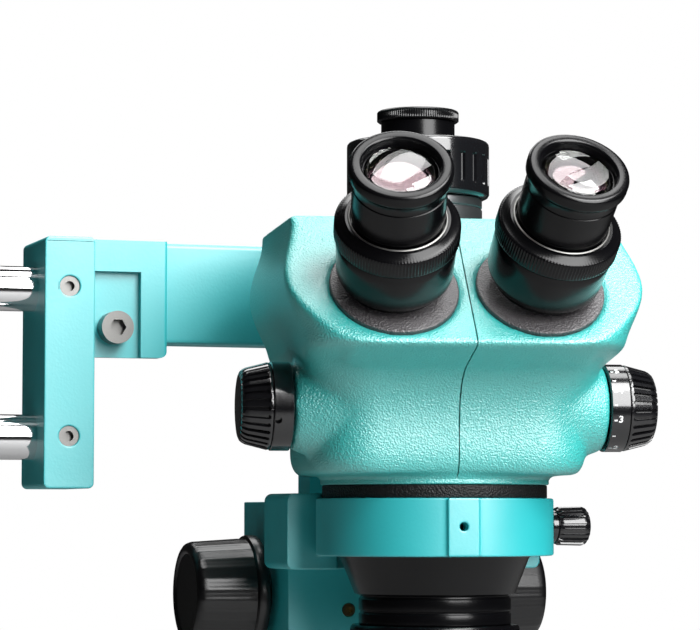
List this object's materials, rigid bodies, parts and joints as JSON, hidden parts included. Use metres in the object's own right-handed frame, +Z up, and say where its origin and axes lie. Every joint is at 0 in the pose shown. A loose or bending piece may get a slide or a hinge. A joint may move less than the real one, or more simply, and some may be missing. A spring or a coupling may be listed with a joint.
{
  "type": "trinocular stereo microscope",
  "caption": "Trinocular stereo zoom microscope head in a rack-and-pinion ring holder on an arm with two boom rods.",
  "frame": {"origin": "centre of the lower end of the objective collar, on the optical axis of the head and holder ring", "axes": "+Z up along the optical axis, -Y towards the operator, -X along the boom rods away from the head"},
  "size_m": [0.3183, 0.2401, 0.2554],
  "materials": {
    "mint_paint": "fine leather-grain enamel",
    "ring_paint": "smooth satin enamel",
    "black_wrinkle": "black wrinkle paint",
    "black_anodised": "black anodised, satin",
    "black_plastic": "glossy moulded black",
    "grey_anodised": "grey anodised",
    "steel": "bright steel",
    "chrome_rod": "hard chrome, polished",
    "brass": "turned brass",
    "coated_glass": "multicoated optical glass",
    "nylon": "natural nylon",
    "cast_aluminium": "plain machined"
  },
  "bodies": {
    "root": {"arm": "ring_paint", "arm_bracket": "ring_paint", "clamp_bolt": "steel", "column": "ring_paint", "column_bolts": "steel", "end_block": "ring_paint", "focus_rack": "steel", "lower_rod": "chrome_rod", "rod_grub_screws": "steel", "upper_rod": "chrome_rod"},
    "carriage": {"cover_screws": "steel", "focus_bush_left": "black_anodised", "focus_bush_right": "black_anodised", "focus_housing": "ring_paint", "gib_left": "brass", "gib_right": "brass", "holder_screws": "steel", "housing_cover": "ring_paint", "ring_holder": "ring_paint", "tension_screws": "brass"},
    "focus_drive": {"focus_knob_left": "black_plastic", "focus_knob_right": "black_plastic", "focus_pinion": "steel", "focus_shaft": "steel"},
    "ring_lock": {"lock_screw": "black_plastic", "lock_tip": "nylon"},
    "head": {"base_flange": "black_wrinkle", "head_shell_left": "mint_paint", "head_shell_right": "mint_paint", "objective_cone": "black_anodised", "objective_lenses": "coated_glass", "objective_mount": "cast_aluminium", "optics_chassis": "cast_aluminium", "port_base": "grey_anodised", "port_prism": "coated_glass", "prism_bracket": "steel", "ring_light_collar": "black_anodised", "zoom_barrels": "cast_aluminium"},
    "zoom_drive": {"zoom_cam": "cast_aluminium", "zoom_knob_left": "black_plastic", "zoom_knob_right": "black_plastic", "zoom_shaft": "steel"},
    "zoom_group": {"zoom_carriage": "cast_aluminium"},
    "tube_left": {"eye_disc_left": "black_wrinkle", "eye_prism_left": "coated_glass", "eye_tube_left": "black_anodised"},
    "tube_right": {"eye_disc_right": "black_wrinkle", "eye_prism_right": "coated_glass", "eye_tube_right": "black_anodised"},
    "diopter_left": {"diopter_ring_left": "black_anodised"},
    "diopter_right": {"diopter_ring_right": "black_anodised"},
    "ocular_left": {"eye_lens_left": "coated_glass", "eyepiece_left": "black_anodised"},
    "ocular_right": {"eye_lens_right": "coated_glass", "eyepiece_right": "black_anodised"},
    "port_lock": {"port_ring": "black_plastic"},
    "camera_tube": {"photo_tube": "black_anodised"},
    "dust_cap": {"port_cap": "black_plastic"}
  },
  "joints": [
    {"name": "focus_slide", "type": "slide", "parent": "root", "child": "carriage", "axis": [0, 0, 1], "range_m": [-0.025, 0.025]},
    {"name": "focus_turn", "type": "hinge", "parent": "carriage", "child": "focus_drive", "pos_m": [0, 0.086, 0.0235], "axis": [1, 0, 0], "range_deg": [-206, 206]},
    {"name": "lock_turn", "type": "hinge", "parent": "carriage", "child": "ring_lock", "pos_m": [0.05, 0, 0.0505], "axis": [1, 0, 0], "range_deg": [-180, 90]},
    {"name": "head_turn", "type": "hinge", "parent": "carriage", "child": "head", "pos_m": [0, 0, 0.05], "axis": [0, 0, 1], "range_deg": [-80, 100]},
    {"name": "zoom_turn", "type": "hinge", "parent": "head", "child": "zoom_drive", "pos_m": [-0.004, -0.02366, 0.0947], "axis": [0.986, -0.1668, 0], "range_deg": [-210, 24]},
    {"name": "zoom_travel", "type": "slide", "parent": "head", "child": "zoom_group", "axis": [0, 0, 1], "range_m": [-0.0082, 0.0012]},
    {"name": "tube_turn_left", "type": "hinge", "parent": "head", "child": "tube_left", "pos_m": [-0.03696, -0.05841, 0.13614], "axis": [-0.1244, -0.7356, 0.6659], "range_deg": [-30, 50]},
    {"name": "diopter_turn_left", "type": "hinge", "parent": "tube_left", "child": "diopter_left", "pos_m": [-0.03674, -0.0571, 0.13763], "axis": [-0.2065, -0.7191, 0.6635], "range_deg": [-150, 150]},
    {"name": "eyepiece_travel_left", "type": "slide", "parent": "tube_left", "child": "ocular_left", "axis": [-0.2065, -0.7191, 0.6635], "range_m": [-0.0015, 0.0015]},
    {"name": "tube_turn_right", "type": "hinge", "parent": "head", "child": "tube_right", "pos_m": [0.01569, -0.06732, 0.13614], "axis": [-0.1244, -0.7356, 0.6659], "range_deg": [-50, 30]},
    {"name": "diopter_turn_right", "type": "hinge", "parent": "tube_right", "child": "diopter_right", "pos_m": [0.01592, -0.06601, 0.13763], "axis": [-0.0415, -0.747, 0.6635], "range_deg": [-150, 150]},
    {"name": "eyepiece_travel_right", "type": "slide", "parent": "tube_right", "child": "ocular_right", "axis": [-0.0415, -0.747, 0.6635], "range_m": [-0.0015, 0.0015]},
    {"name": "port_ring_turn", "type": "hinge", "parent": "head", "child": "port_lock", "pos_m": [0.0055, 0.03254, 0.19], "axis": [0, 0, 1], "range_deg": [-60, 60]},
    {"name": "camera_tube_travel", "type": "slide", "parent": "head", "child": "camera_tube", "axis": [0, 0, 1], "range_m": [0, 0.01]},
    {"name": "dust_cap_lift", "type": "slide", "parent": "camera_tube", "child": "dust_cap", "axis": [0, 0, 1], "range_m": [0, 0.006]}
  ],
  "couplings": [
    {"joint": "focus_turn", "follows": "focus_slide", "rad_per_m": -142.86},
    {"joint": "zoom_travel", "follows": "zoom_turn", "m_per_rad": 0.0022},
    {"joint": "tube_turn_right", "follows": "tube_turn_left", "ratio": -1},
    {"joint": "eyepiece_travel_left", "follows": "diopter_turn_left", "m_per_rad": 0.00057},
    {"joint": "eyepiece_travel_right", "follows": "diopter_turn_right", "m_per_rad": 0.00057}
  ]
}
